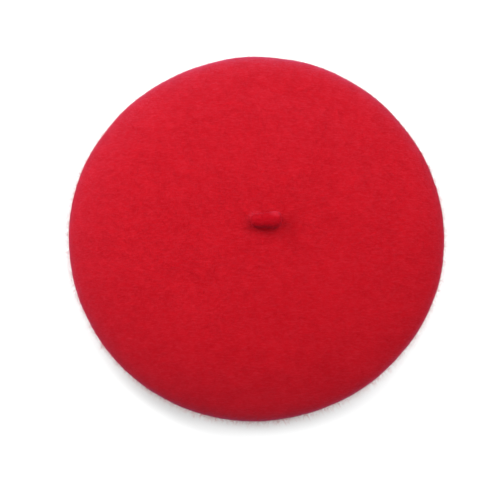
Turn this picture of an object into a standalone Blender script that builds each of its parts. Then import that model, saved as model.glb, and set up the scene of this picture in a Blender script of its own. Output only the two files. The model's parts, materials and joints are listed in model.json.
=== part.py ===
"""A lined wool felt beret, as a set of separate sewn pieces.

Frame: metres, +Z up.  The origin is the centre of the head opening, on the
plane the opening's edge rests on.  -Y is the front, +Y the back with the bow,
+X the side towards which the felt stalk lies.
"""
import math
from itertools import cycle

import bmesh
import bpy
from mathutils import Matrix, Vector

MM = 0.001

# ---------------------------------------------------------------- dimensions
# shared by several pieces; sizes of one piece stand at the head of its section
SEGMENTS = 48               # steps round the felt and the sweatband
CLEAR = 0.3 * MM            # gap between a sewn-on part and its ground
THREAD_R = 0.3 * MM
SHARP_ANGLE = math.radians(50)

# felt shell (outer surface)
CROWN_R = 137.5 * MM        # widest radius of the rolled rim
CROWN_H = 45.0 * MM         # top of the crown above the rest plane
DIMPLE = 1.0 * MM           # the crown dips a little round the stalk's root
DIMPLE_FLAT_R = 6.0 * MM    # the dip has its full depth inside this
DIMPLE_R = 27.0 * MM
RIM_Z = 19.0 * MM           # height of the widest line of the rim
TOP_POWER = 2.15            # squareness of the upper curve
UNDER_R = 106.0 * MM        # where the rim's lower curve meets the underside
UNDER_Z = 3.9 * MM
UNDER_RINGS = 2
FLAT_R = 99.5 * MM          # inside this the underside lies flat, in the tape's fold
FELT_T = 2.3 * MM

# head opening
HEAD_R = 88.0 * MM          # inside of the sweatband: a 55 cm head
EDGE_R = 93.6 * MM          # cut edge of the felt
EDGE_Z = 1.15 * MM          # underside of the felt at the cut edge
BAND_T = 0.9 * MM           # sweatband leather

# edge binding: tape folded round the edge, with the cord's casing inside
TAPE_T = 0.7 * MM
TAPE_R0 = HEAD_R + BAND_T + 0.35 * MM
TAPE_R1 = 99.2 * MM
TAPE_H = 5.0 * MM
SLOT_DEG = 11.5             # the casing is open on its upper side, each side of the back


# ----------------------------------------------------------------- materials
def material(name, colour, roughness):
    mat = bpy.data.materials.get(name)
    if mat is None:
        mat = bpy.data.materials.new(name)
        mat.use_nodes = True
        shader = mat.node_tree.nodes["Principled BSDF"]
        shader.inputs["Base Color"].default_value = (*colour, 1.0)
        shader.inputs["Roughness"].default_value = roughness
    return mat


def felt_red():
    return material("wool_felt_red", colour=(0.56, 0.008, 0.018), roughness=0.95)


def leather_black():
    return material("leather_black", colour=(0.025, 0.022, 0.021), roughness=0.5)


def tape_red():
    return material("tape_dark_red", colour=(0.30, 0.006, 0.014), roughness=0.7)


def satin_red():
    return material("satin_red", colour=(0.42, 0.008, 0.02), roughness=0.35)


def thread_red():
    return material("thread_red", colour=(0.36, 0.006, 0.014), roughness=0.6)


def cord_black():
    return material("cord_black", colour=(0.03, 0.026, 0.026), roughness=0.7)


def ribbon_black():
    return material("ribbon_black", colour=(0.028, 0.025, 0.027), roughness=0.45)


def label_white():
    return material("label_white", colour=(0.82, 0.80, 0.77), roughness=0.5)


# ------------------------------------------------------------------- helpers
def clear_scene():
    for ob in list(bpy.data.objects):
        bpy.data.objects.remove(ob, do_unlink=True)


def link_object(name, data):
    ob = bpy.data.objects.new(name, data)
    bpy.context.collection.objects.link(ob)
    return ob


def add_object(name, data, mat):
    ob = link_object(name, data)
    data.materials.append(mat)
    if isinstance(data, bpy.types.Mesh):
        data.shade_smooth()
        data.set_sharp_from_angle(angle=SHARP_ANGLE)
    return ob


def to_mesh(name, bm):
    """Writes a bmesh to a new mesh and frees it."""
    mesh = bpy.data.meshes.new(name)
    bm.to_mesh(mesh)
    bm.free()
    return mesh


def polar(deg, r, z):
    """A point at an angle measured from the back (+Y) towards +X."""
    angle = math.radians(deg)
    return Vector((r * math.sin(angle), r * math.cos(angle), z))


def smoothstep(start, end, value):
    t = min(1.0, max(0.0, (value - start) / (end - start)))
    return t * t * (3.0 - 2.0 * t)


def frame(x_axis, y_axis, z_axis, origin):
    """The matrix whose columns are three axes and an origin."""
    matrix = Matrix((x_axis, y_axis, z_axis)).transposed().to_4x4()
    matrix.translation = origin
    return matrix


def revolve(name, points, mat, axis=(0, 0, 1), steps=SEGMENTS, closed=False, warp=None):
    """Spins a line of points in the XZ plane about an axis through the origin,
    then moves each vertex by warp."""
    bm = bmesh.new()
    verts = [bm.verts.new(point) for point in points]
    edges = [bm.edges.new(pair) for pair in zip(verts, verts[1:])]
    if closed:
        edges.append(bm.edges.new((verts[-1], verts[0])))
    bmesh.ops.spin(bm, geom=verts + edges, cent=(0, 0, 0), axis=axis,
                   angle=2 * math.pi, steps=steps, use_merge=True)
    bmesh.ops.remove_doubles(bm, verts=bm.verts, dist=1e-6)
    if warp:
        for vert in bm.verts:
            vert.co = warp(vert.co)
    bmesh.ops.recalc_face_normals(bm, faces=bm.faces)
    return add_object(name, to_mesh(name, bm), mat)


def loft(name, sections, mat, cyclic=False):
    """Skins closed sections of equal point count, either into a full ring or
    into a strip with both ends closed."""
    bm = bmesh.new()
    rows = [[bm.verts.new(point) for point in section] for section in sections]
    count = len(rows[0])
    following = rows[1:] + rows[:1] if cyclic else rows[1:]
    for a, b in zip(rows, following):
        for j in range(count):
            k = (j + 1) % count
            bm.faces.new((a[j], a[k], b[k], b[j]))
    if not cyclic:
        bm.faces.new(rows[0])
        bm.faces.new(list(reversed(rows[-1])))
    bmesh.ops.recalc_face_normals(bm, faces=bm.faces)
    return add_object(name, to_mesh(name, bm), mat)


def sphere_mesh(name, radius, segments, rings):
    bm = bmesh.new()
    bmesh.ops.create_uvsphere(bm, u_segments=segments, v_segments=rings, radius=radius)
    return to_mesh(name, bm)


def cord(name, points, radius, mat, gains=(1.0,), cyclic=False, bevel_steps=1):
    """A round cord along points.  The gains multiply its radius point by
    point, and repeat when there are fewer of them than points."""
    curve = bpy.data.curves.new(name, "CURVE")
    curve.dimensions = "3D"
    curve.bevel_depth = radius
    curve.bevel_resolution = bevel_steps
    curve.use_fill_caps = True
    curve.resolution_u = 1
    spline = curve.splines.new("POLY")
    spline.points.add(len(points) - 1)
    for spline_point, point, gain in zip(spline.points, points, cycle(gains)):
        spline_point.co = (*point, 1.0)
        spline_point.radius = gain
    spline.use_cyclic_u = cyclic
    return add_object(name, curve, mat)


# ------------------------------------------------------ the hand-blocked form
# A felted crown is never a true circle: its rim wanders a millimetre or so in
# and out, and rises and falls by up to 2.6 mm, lowest near the front.
BLOCK_START_R = 100.0 * MM  # the round shape is kept inside this
BLOCK_FULL_R = 134.0 * MM   # the waves have their full size outside this

# waves round the rim: (size, number of crests, angle of one crest from +X in degrees)
OUTLINE_WAVES = (           # size is relative to the radius
    (0.0031, 2, 6.0),
    (0.0015, 3, -8.0),
    (0.0023, 4, -22.5),
    (0.0012, 5, 6.0),
)
HEIGHT_WAVES = (            # size is a height; the first has a trough at its angle
    (-2.2 * MM, 1, 225.0),
    (1.0 * MM, 2, 40.0),
    (0.6 * MM, 3, 100.0),
)


def wave_sum(waves, theta):
    return sum(size * math.cos(crests * (theta - math.radians(deg)))
               for size, crests, deg in waves)


def blocked(point):
    """Moves a point of the true round shape to the hand-blocked one."""
    weight = smoothstep(BLOCK_START_R, BLOCK_FULL_R, math.hypot(point.x, point.y))
    theta = math.atan2(point.y, point.x)
    gain = 1.0 + weight * wave_sum(OUTLINE_WAVES, theta)
    return Vector((point.x * gain, point.y * gain,
                   point.z + weight * wave_sum(HEIGHT_WAVES, theta)))


def crown_profile(inset=0.0, top_rings=8, roll_rings=6):
    """Points (r, z) of the felt's outer surface moved inwards by inset,
    from the centre of the top, over the rim and to the opening's edge."""
    points = []
    upper_rings = top_rings + roll_rings
    for i in range(upper_rings + 1):
        # equal steps of the curve's own angle, which bunches rings at the rim
        t = (math.pi / 2) * i / upper_rings
        r = CROWN_R * math.sin(t) ** (2.0 / TOP_POWER)
        z = RIM_Z + (CROWN_H - RIM_Z) * math.cos(t) ** (2.0 / TOP_POWER)
        z -= DIMPLE * (1.0 - smoothstep(DIMPLE_FLAT_R, DIMPLE_R, r))
        points.append((r, z))
    # the roll under the rim is a quarter ellipse
    for i in range(1, roll_rings + 1):
        t = (math.pi / 2) * i / roll_rings
        points.append((UNDER_R + (CROWN_R - UNDER_R) * math.cos(t),
                       RIM_Z - (RIM_Z - UNDER_Z) * math.sin(t)))
    for i in range(1, UNDER_RINGS + 1):
        f = i / UNDER_RINGS
        points.append((UNDER_R + (FLAT_R - UNDER_R) * f,
                       UNDER_Z + (EDGE_Z - UNDER_Z) * math.sin(f * math.pi / 2)))
    points.append((EDGE_R, EDGE_Z))

    moved = []
    for i, (r, z) in enumerate(points):
        before = points[max(i - 1, 0)]
        after = points[min(i + 1, len(points) - 1)]
        dr, dz = after[0] - before[0], after[1] - before[1]
        if i == 0:
            # the centre of the top is level
            dr, dz = 1.0, 0.0
        length = math.hypot(dr, dz)
        # the inward normal of a curve that runs outwards over the top
        moved.append((max(r + inset * dz / length, 0.0), z - inset * dr / length))
    return moved


def revolve_blocked(name, profile, mat, **options):
    """Spins (r, z) points about Z and gives them the hand-blocked form."""
    return revolve(name, [(r, 0.0, z) for r, z in profile], mat, warp=blocked, **options)


# --------------------------------------------------------------- felt shell
def build_felt_crown():
    outer = crown_profile()
    inner = crown_profile(FELT_T)
    # the cut edge is square to the felt
    inner[-1] = (EDGE_R, EDGE_Z + FELT_T)
    revolve_blocked("felt_crown", outer + inner[::-1], felt_red())


# --------------------------------------------------------------------- stalk
STALK_YAW = math.radians(4.0)
STALK_PITCH = math.radians(7.0)
BALL_R = 4.75 * MM
BALL_LIFT = 0.35 * MM       # knuckle above the felt
SOCKET_GAP = 0.35 * MM      # round the knuckle, in the stalk's foot
PIVOT = Vector((0.0, 2.0 * MM, CROWN_H - DIMPLE + BALL_R + BALL_LIFT))

# along the stalk, from the pivot
STALK_R = 4.75 * MM         # at the foot; the tip is a little fuller
TIP_GAIN = 1.18
STALK_START = 1.2 * MM
STALK_LEN = 19.0 * MM
TIP_LEN = 0.9 * STALK_R     # the rounded end
TIP_POWER = 0.8             # bluntness of the rounded end
BODY_STEPS = 5
TIP_STEPS = 5
CURL_START = 7.0 * MM
CURL_RISE = 1.5 * MM

ANCHOR_POINTS = 24
ANCHOR_R = 2.6 * MM
ANCHOR_ZIGZAG = 0.5 * MM    # in and out of the stitch's circle


def add_stalk_pivot():
    """An empty at the knuckle's centre, with its X along the stalk."""
    along = Vector((math.cos(STALK_YAW) * math.cos(STALK_PITCH),
                    math.sin(STALK_YAW) * math.cos(STALK_PITCH),
                    math.sin(STALK_PITCH)))
    side = Vector((-math.sin(STALK_YAW), math.cos(STALK_YAW), 0.0))
    empty = link_object("stalk_pivot", None)
    empty.matrix_world = frame(along, side, along.cross(side), PIVOT)
    return empty


def stalk_profile():
    """Points (x, r) from the middle of the foot to the point of the tip."""
    body_end = STALK_LEN - TIP_LEN
    points = [(STALK_START, 0.0)]
    for i in range(BODY_STEPS + 1):
        f = i / BODY_STEPS
        points.append((STALK_START + (body_end - STALK_START) * f,
                       STALK_R * (1.0 + (TIP_GAIN - 1.0) * f)))
    for i in range(1, TIP_STEPS):
        t = math.pi / 2 * i / TIP_STEPS
        points.append((body_end + TIP_LEN * math.sin(t),
                       STALK_R * TIP_GAIN * math.cos(t) ** TIP_POWER))
    points.append((STALK_LEN, 0.0))
    return points


def curled(point):
    """Lifts a point of the straight stalk, as the tip curls up a little."""
    f = smoothstep(CURL_START, STALK_LEN, point.x)
    return Vector((point.x, point.y, point.z + CURL_RISE * f * f))


def build_stem_root(pivot):
    """A round knuckle on the pivot."""
    mesh = sphere_mesh("stem_root", BALL_R, segments=20, rings=12)
    root = add_object("stem_root", mesh, felt_red())
    root.parent = pivot


def build_stem(pivot):
    """A turned finger with a blunt tip and a round socket in its foot."""
    stem = revolve("stem", [(x, 0.0, r) for x, r in stalk_profile()], felt_red(),
                   axis=(1, 0, 0), steps=18, warp=curled)
    stem.parent = pivot

    name = "stem_socket_cutter"
    cutter = link_object(name, sphere_mesh(name, BALL_R + SOCKET_GAP, segments=24, rings=16))
    cutter.parent = pivot
    cutter.hide_render = True
    cutter.display_type = "WIRE"
    socket = stem.modifiers.new("socket", "BOOLEAN")
    socket.operation = "DIFFERENCE"
    socket.solver = "EXACT"
    socket.object = cutter


def build_stem_anchor():
    """Thread that holds the stalk's root, on the inside of the crown."""
    z = CROWN_H - DIMPLE - FELT_T - CLEAR - THREAD_R
    points = []
    for i in range(ANCHOR_POINTS):
        angle = 2 * math.pi * i / ANCHOR_POINTS
        r = ANCHOR_R + ANCHOR_ZIGZAG * (-1) ** i
        points.append(Vector((r * math.cos(angle), PIVOT.y + r * math.sin(angle), z)))
    cord("stem_anchor_stitch", points, THREAD_R, thread_red(), cyclic=True)


def build_stalk():
    pivot = add_stalk_pivot()
    build_stem_root(pivot)
    build_stem(pivot)
    build_stem_anchor()


# ----------------------------------------------------------------- sweatband
BAND_Z0 = 0.9 * MM
BAND_Z1 = 27.0 * MM
BAND_BEVEL = 0.3 * MM       # along the upper edge
BAND_GAP_DEG = 0.9          # the ends stop this far each side of the back


def build_sweatband():
    """A leather strip on edge, round the head opening."""
    outer_r = HEAD_R + BAND_T
    profile = [(HEAD_R, BAND_Z0), (HEAD_R, BAND_Z1 - BAND_BEVEL),
               (HEAD_R + BAND_BEVEL, BAND_Z1), (outer_r - BAND_BEVEL, BAND_Z1),
               (outer_r, BAND_Z1 - BAND_BEVEL), (outer_r, BAND_Z0)]
    sections = []
    for i in range(SEGMENTS + 1):
        deg = BAND_GAP_DEG + (360.0 - 2 * BAND_GAP_DEG) * i / SEGMENTS
        sections.append([polar(deg, r, z) for r, z in profile])
    loft("sweatband", sections, leather_black())


# -------------------------------------------------------------- edge binding
FLOOR_BEVEL = 0.5 * MM              # floor to inner wall
FLOOR_FLAT_R = TAPE_R1 - 2.4 * MM   # outside this the floor thins and rises
FLOOR_RISE = 0.75 * MM
ROOF_R = TAPE_R1 - 0.5 * MM
ROOF_RISE = 0.35 * MM               # of the roof, out to its free edge
ROOF_BEVEL = 0.3 * MM               # roof to inner wall
WALL_R = TAPE_R0 + TAPE_T           # outer face of the inner wall
LOW_WALL_Z = TAPE_H - 1.5 * MM      # top of the inner wall at the slot
SLOT_END_DEG = 1.0                  # the roof starts within this past the slot
ROOFED_STEPS = 42
SLOT_STEPS = 4

# closed sections, (r, z): floor and inner wall, then what lies above them
TAPE_FLOOR = [
    (TAPE_R0, FLOOR_BEVEL), (TAPE_R0 + FLOOR_BEVEL, 0.0), (FLOOR_FLAT_R, 0.0),
    (TAPE_R1, FLOOR_RISE), (TAPE_R1, FLOOR_RISE + 0.5 * TAPE_T),
    (FLOOR_FLAT_R, TAPE_T), (WALL_R, TAPE_T),
]
TAPE_ROOF = [
    (WALL_R, TAPE_H - TAPE_T), (ROOF_R, TAPE_H - TAPE_T + ROOF_RISE),
    (ROOF_R, TAPE_H + ROOF_RISE), (TAPE_R0 + ROOF_BEVEL, TAPE_H),
    (TAPE_R0, TAPE_H - ROOF_BEVEL),
]
TAPE_LOW_WALL = [
    (WALL_R, LOW_WALL_Z - 0.4 * MM), (WALL_R, LOW_WALL_Z - 0.2 * MM),
    (WALL_R - 0.1 * MM, LOW_WALL_Z), (TAPE_R0 + 0.25 * MM, LOW_WALL_Z),
    (TAPE_R0, LOW_WALL_Z - 0.2 * MM),
]


def build_binding():
    """A folded tape: floor, inner wall and a roof that shrinks back to the
    wall at the back, so that the cord's ends can come out."""
    roofed_start = SLOT_DEG + SLOT_END_DEG
    roofed_span = 360.0 - 2 * roofed_start
    roofed = [roofed_start + roofed_span * i / ROOFED_STEPS for i in range(ROOFED_STEPS + 1)]
    slot_end = 360.0 - SLOT_DEG
    slot = [slot_end + 2 * SLOT_DEG * i / SLOT_STEPS for i in range(SLOT_STEPS)]
    stations = [(SLOT_DEG, TAPE_LOW_WALL)]
    stations += [(deg, TAPE_ROOF) for deg in roofed]
    stations += [(deg, TAPE_LOW_WALL) for deg in slot]
    sections = [[polar(deg, r, z) for r, z in TAPE_FLOOR + upper] for deg, upper in stations]
    loft("edge_binding", sections, tape_red(), cyclic=True)


# ----------------------------------------------------------------- stitching
BINDING_THREAD_R = 0.24 * MM
BINDING_STITCH_R = TAPE_R1 - 0.15 * MM
BINDING_STITCH_Z = 0.45 * MM
BAND_STITCH_R = HEAD_R - CLEAR - THREAD_R - 0.05 * MM
BAND_STITCH_Z = 2.6 * MM


def stitch_ring(name, r, z, count, thread_r, gap_deg=0.0):
    """A thread that runs along a circle, fuller at each stitch.  It can stop
    short of the back by an angle on each side."""
    closed = gap_deg == 0.0
    steps = count * 2
    points = [polar(gap_deg + (360.0 - 2 * gap_deg) * i / steps, r, z)
              for i in range(steps if closed else steps + 1)]
    cord(name, points, thread_r, thread_red(), gains=(1.0, 0.6), cyclic=closed,
         bevel_steps=0)


def build_stitching():
    stitch_ring("binding_stitching", BINDING_STITCH_R, BINDING_STITCH_Z,
                count=48, thread_r=BINDING_THREAD_R)
    stitch_ring("sweatband_stitching", BAND_STITCH_R, BAND_STITCH_Z,
                count=38, thread_r=THREAD_R, gap_deg=7.0)


# ------------------------------------------------------------------ drawcord
CORD_R = 0.7 * MM
CORD_Z = 2.35 * MM          # inside the casing
TAIL_Z = 6.7 * MM           # above the slot
CORD_STEPS = 34
RISE_STEPS = 5

# angles from the back, on the half's own side
CORD_FRONT_DEG = 177.0
RISE_START_DEG = SLOT_DEG - 1.9
RISE_END_DEG = 3.6

# the tail, on the other side of the back, ends in a knot: (degrees, gain of radius)
TAIL_STATIONS = (
    (-2.0, 1.0), (-8.0, 1.0), (-12.5, 1.0),
    (-13.2, 1.45), (-14.4, 1.45), (-15.1, 0.9),
)

# name, side (+1 is the +X half), radius in the casing, radius of the tail
CORD_HALVES = (
    ("drawcord_left", -1, 92.2 * MM, 92.7 * MM),
    ("drawcord_right", 1, 91.0 * MM, 90.4 * MM),
)


def build_cord_half(name, side, ring_r, tail_r):
    """One half of the drawcord: from the front round to the back inside the
    casing, then up out of it and on past the back, to a knot."""
    points = []
    for i in range(CORD_STEPS + 1):
        deg = CORD_FRONT_DEG + (RISE_START_DEG - CORD_FRONT_DEG) * i / CORD_STEPS
        points.append(polar(side * deg, ring_r, CORD_Z))
    for i in range(1, RISE_STEPS + 1):
        f = i / RISE_STEPS
        rise = smoothstep(0.0, 1.0, f)
        deg = RISE_START_DEG + (RISE_END_DEG - RISE_START_DEG) * f
        points.append(polar(side * deg, ring_r + (tail_r - ring_r) * rise,
                            CORD_Z + (TAIL_Z - CORD_Z) * rise))
    gains = [1.0] * len(points)
    for deg, gain in TAIL_STATIONS:
        points.append(polar(side * deg, tail_r, TAIL_Z))
        gains.append(gain)
    cord(name, points, CORD_R, cord_black(), gains=gains)


def build_cords():
    for half in CORD_HALVES:
        build_cord_half(*half)


# ----------------------------------------------------------------------- bow
BOW_T = 0.5 * MM
BOW_R = HEAD_R - CLEAR - 0.25 * MM  # the bow's flat face, towards the band
BOW_Z = 13.5 * MM
BOW_HALF_W = 15.0 * MM
BOW_HALF_H = 6.0 * MM
BOW_WAIST = 2.2 * MM        # half height at the middle
BOW_FULL_AT = 0.75          # share of the half width where the full height is reached
BOW_EDGE_GAIN = 0.96        # height of the inner face against the flat one
LOOP_PUFF = 1.1 * MM        # the loops stand off the band
LOOP_SPREAD = 1.1           # brings the loops' puff in from the bow's ends
RIDGE_GAIN = 1.15           # the puff is fuller at mid height
KNOT_PUFF = 0.8 * MM
KNOT_SHARE = 0.13           # the knot's share of the half width
BOW_STEPS = 16


def build_bow():
    """A small flat ribbon bow on the inner face of the band, at the back."""
    sections = []
    for i in range(BOW_STEPS + 1):
        u = -1.0 + 2.0 * i / BOW_STEPS
        f = abs(u)
        half_h = BOW_WAIST + (BOW_HALF_H - BOW_WAIST) * smoothstep(0.0, BOW_FULL_AT, f)
        puff = LOOP_PUFF * math.sin(math.pi * min(1.0, f * LOOP_SPREAD)) ** 2
        if f < KNOT_SHARE:
            puff += KNOT_PUFF
        inner_r = BOW_R - BOW_T - puff
        inner_h = half_h * BOW_EDGE_GAIN
        section = ((BOW_R, BOW_Z - half_h), (BOW_R, BOW_Z + half_h),
                   (inner_r, BOW_Z + inner_h),
                   (BOW_R - BOW_T - puff * RIDGE_GAIN, BOW_Z),
                   (inner_r, BOW_Z - inner_h))
        deg = math.degrees(u * BOW_HALF_W / BOW_R)
        sections.append([polar(deg, r, z) for r, z in section])
    loft("back_bow", sections, ribbon_black())


# -------------------------------------------------------------------- lining
LINING_T = 0.5 * MM
LINING_GAP = 1.1 * MM
LINING_SEGMENTS = 40
LINING_TOP_RINGS = 5
LINING_ROLL_RINGS = 4
SEAM_THREAD_R = 0.28 * MM
SEAM_INSET = 0.1 * MM
SEAM_POINTS = 60

# the under panel's inner edge turns up behind the sweatband: (r, z) of its
# two faces, each running on from the face that follows the felt
TURN_UP_OUTER = [(100.5 * MM, 7.1 * MM), (97.0 * MM, 8.9 * MM), (95.6 * MM, 13.0 * MM)]
TURN_UP_INNER = [(101.0 * MM, 7.8 * MM), (97.6 * MM, 9.3 * MM), (96.2 * MM, 13.0 * MM)]


def lining_face(inset):
    return crown_profile(inset, top_rings=LINING_TOP_RINGS, roll_rings=LINING_ROLL_RINGS)


def build_lining():
    """Two satin panels that follow the felt's inner face at a small gap and
    meet at a seam on the rim."""
    outer = lining_face(FELT_T + LINING_GAP)
    inner = lining_face(FELT_T + LINING_GAP + LINING_T)

    # both panels stop one ring short of the widest one
    widest = LINING_TOP_RINGS + LINING_ROLL_RINGS
    revolve_blocked("lining_top", outer[:widest] + inner[:widest][::-1], satin_red(),
                    steps=LINING_SEGMENTS)

    roll = slice(widest + 1, widest + 1 + LINING_ROLL_RINGS)
    under_outer = outer[roll] + TURN_UP_OUTER
    under_inner = inner[roll] + TURN_UP_INNER
    revolve_blocked("lining_under", under_outer + under_inner[::-1], satin_red(),
                    steps=LINING_SEGMENTS, closed=True)

    # the seam's thread lies between the panels' edges
    r = (outer[widest][0] + inner[widest][0]) / 2 - SEAM_INSET
    z = outer[widest][1]
    points = [blocked(polar(360.0 * i / SEAM_POINTS, r, z)) for i in range(SEAM_POINTS)]
    cord("lining_seam", points, SEAM_THREAD_R, thread_red(), gains=(0.7, 1.0),
         cyclic=True, bevel_steps=0)


# -------------------------------------------------------------------- labels
# name, angle from the back, width, length, thickness
LABELS = (
    ("size_label", 42.0, 18.0 * MM, 13.0 * MM, 0.4 * MM),
    ("care_label", -62.0, 26.0 * MM, 21.0 * MM, 0.35 * MM),
)
LABEL_ROOT_Z = 4.9 * MM
LABEL_ROOT_R = HEAD_R - 1.6 * MM
LABEL_START = 0.25 * MM     # lower edge above the hinge
LABEL_LEAN = 2.2 * MM       # inwards, at the free edge
LABEL_LEAN_POWER = 1.5
LABEL_STEPS = 5

TACK_POINTS = 9
TACK_THREAD_R = 0.2 * MM
TACK_MARGIN = 2.0 * MM      # the label's width less the tack's
TACK_DROP = 1.2 * MM        # below the hinge
TACK_OFFSET = 1.05 * MM     # from the hinge towards the band
TACK_ZIGZAG = 0.12 * MM


def build_label(name, hinge, inward, tangent, width, length, thick):
    sections = []
    for i in range(LABEL_STEPS + 1):
        f = i / LABEL_STEPS
        # leans in a little towards its free edge
        y = -0.5 * thick + LABEL_LEAN * f ** LABEL_LEAN_POWER
        z = LABEL_START + f * length
        sections.append([Vector((-0.5 * width, y, z)), Vector((0.5 * width, y, z)),
                         Vector((0.5 * width, y + thick, z)),
                         Vector((-0.5 * width, y + thick, z))])
    label = loft(name, sections, label_white())
    # a left-handed frame, which only mirrors the symmetrical label
    label.matrix_world = frame(-tangent, inward, (0.0, 0.0, 1.0), hinge)


def build_label_tack(name, hinge, inward, tangent, width):
    """Bar tack below the label's sewn edge, bent to the band's curve."""
    points = []
    for i in range(TACK_POINTS):
        s = (i / (TACK_POINTS - 1) - 0.5) * (width - TACK_MARGIN)
        point = hinge + tangent * s + inward * (s * s / (2 * HEAD_R) - TACK_OFFSET)
        point.z = LABEL_ROOT_Z - TACK_DROP + TACK_ZIGZAG * (-1) ** i
        points.append(point)
    cord(name, points, TACK_THREAD_R, thread_red(), bevel_steps=0)


def build_labels():
    """Satin labels that stand against the band's inner face and swing inwards
    about their sewn lower edge, where each has its origin."""
    for name, deg, width, length, thick in LABELS:
        hinge = polar(deg, LABEL_ROOT_R, LABEL_ROOT_Z)
        inward = -polar(deg, 1.0, 0.0)
        tangent = Vector((inward.y, -inward.x, 0.0))
        build_label(name, hinge, inward, tangent, width, length, thick)
        build_label_tack(name + "_stitch", hinge, inward, tangent, width)


def main():
    clear_scene()
    build_felt_crown()
    build_stalk()
    build_sweatband()
    build_binding()
    build_stitching()
    build_cords()
    build_bow()
    build_lining()
    build_labels()
    bpy.context.view_layer.update()


main()
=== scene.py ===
"""A red wool beret with a felt stalk, leather sweatband, bound edge, drawcord, bow and lining.

It lies flat on the floor plane with its opening down, centred on the Z axis.
+Y is the back, where the bow is, +X is the right and +Z is up. Units are metres.
"""
import json
import math

import bmesh
import bpy
import numpy as np
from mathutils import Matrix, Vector


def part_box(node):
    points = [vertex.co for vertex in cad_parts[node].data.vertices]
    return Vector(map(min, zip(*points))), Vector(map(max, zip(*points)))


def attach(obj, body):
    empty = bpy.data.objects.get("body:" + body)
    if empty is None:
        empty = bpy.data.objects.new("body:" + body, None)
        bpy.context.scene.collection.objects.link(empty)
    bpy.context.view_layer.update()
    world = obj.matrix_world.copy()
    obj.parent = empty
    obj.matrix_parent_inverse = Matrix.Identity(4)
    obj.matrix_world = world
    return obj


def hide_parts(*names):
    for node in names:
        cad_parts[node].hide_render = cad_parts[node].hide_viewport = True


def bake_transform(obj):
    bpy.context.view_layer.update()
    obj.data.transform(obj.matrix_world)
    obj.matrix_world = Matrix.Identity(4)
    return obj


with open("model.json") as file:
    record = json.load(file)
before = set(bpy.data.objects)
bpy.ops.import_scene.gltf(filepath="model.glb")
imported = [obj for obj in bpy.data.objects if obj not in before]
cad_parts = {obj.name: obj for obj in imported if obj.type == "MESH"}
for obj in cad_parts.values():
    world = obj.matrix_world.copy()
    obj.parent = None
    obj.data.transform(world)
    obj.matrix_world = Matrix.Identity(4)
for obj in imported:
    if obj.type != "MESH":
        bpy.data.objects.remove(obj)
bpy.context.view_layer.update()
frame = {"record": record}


MM = 0.001
TAU = 2.0 * math.pi
UP = np.array([0.0, 0.0, 1.0])

# Felt shell: its profile runs from the pole over the top, round the rim and under to the edge.
CROWN_R = 137.5 * MM
CROWN_H = 45.0 * MM
RIM_Z = 19.0 * MM               # height of the widest place
TOP_POWER = 2.15                # superellipse power of the top
UNDER_R = 106.0 * MM            # where the rounded underside ends
UNDER_Z = 3.9 * MM
FLAT_R = 99.5 * MM              # where the flat edge starts
EDGE_R = 93.6 * MM              # edge of the opening
EDGE_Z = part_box("felt_crown")[0].z
FELT_T = 2.3 * MM

# Sweatband and the things that lie on it
BAND_R = 88.0 * MM              # inner face
BAND_LOW, BAND_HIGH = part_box("sweatband")
BOW_R = BAND_R - 0.45 * MM
BOW_Z = 13.5 * MM
RIBBON_T = 0.30 * MM

JOINTS = frame["record"]["behaviour"]["joints"]
PIVOT = Vector(JOINTS[0]["pos_m"])  # the stalk turns about this point
STALK_LENGTH = 19.0 * MM        # from the pivot to the tip
STALK_BACK = 3.5 * MM           # from the pivot to the root end


# ------------------------------------------------------------ numeric helpers
def smooth(start, end, x):
    t = np.clip((np.asarray(x, float) - start) / (end - start), 0.0, 1.0)
    return t * t * (3.0 - 2.0 * t)


def value_noise(points, size, seed):
    """Smooth value noise from -1 to 1 at points (n, 3), with cells of size metres."""
    rng = np.random.RandomState(1234 + seed)
    table = rng.uniform(-1, 1, 4096)
    perm = rng.permutation(4096)
    scaled = np.asarray(points, float) / size + 100.37
    cell = np.floor(scaled).astype(np.int64)
    frac = scaled - cell
    frac = frac * frac * frac * (frac * (frac * 6 - 15) + 10)
    total = 0.0
    for corner in np.ndindex(2, 2, 2):
        weight, key = 1.0, 0
        for axis, step in enumerate(corner):
            part = frac[:, axis]
            weight = weight * (part if step else 1 - part)
            key = perm[(key + cell[:, axis] + step) & 4095]
        total = total + weight * table[key]
    return total


def unit_rows(vectors, tiny=0.0):
    return vectors / (np.linalg.norm(vectors, axis=1)[:, None] + tiny)


def circle(count):
    return TAU * np.arange(count) / count


def polar(degrees, radius, z):
    """A point whose angle is measured from the back (+Y) towards +X."""
    a = np.radians(degrees)
    return np.stack([radius * np.sin(a), radius * np.cos(a), z + 0.0 * a], -1)


def radial(angle):
    """Outward direction at an angle in radians, measured as in polar."""
    return np.array([math.sin(angle), math.cos(angle), 0.0])


def tangent(angle):
    return np.array([math.cos(angle), -math.sin(angle), 0.0])


def spun(pair, theta):
    """A profile point or normal (r, z) turned to the angles theta, measured from +X."""
    r, z = pair
    return np.stack([r * np.cos(theta), r * np.sin(theta), np.full(len(theta), z)], -1)


# --------------------------------------------------------------- mesh helpers
def add_object(name, data):
    ob = bpy.data.objects.new(name, data)
    bpy.context.scene.collection.objects.link(ob)
    return ob


def recalculate_normals(ob):
    bm = bmesh.new()
    bm.from_mesh(ob.data)
    bmesh.ops.recalc_face_normals(bm, faces=bm.faces)
    bm.to_mesh(ob.data)
    bm.free()


def add_piece(name, mesh, materials, body, replaced, sharp=None, recalculate=False):
    verts, faces = mesh
    me = bpy.data.meshes.new(name)
    me.from_pydata(np.asarray(verts, float).tolist(), [], faces)
    me.update()
    ob = add_object(name, me)
    for material in materials:
        me.materials.append(material)
    me.shade_smooth()
    if sharp is not None:
        me.set_sharp_from_angle(angle=math.radians(sharp))
    if body:
        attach(ob, body)
    if recalculate:
        recalculate_normals(ob)
    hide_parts(*replaced)
    return ob


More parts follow.
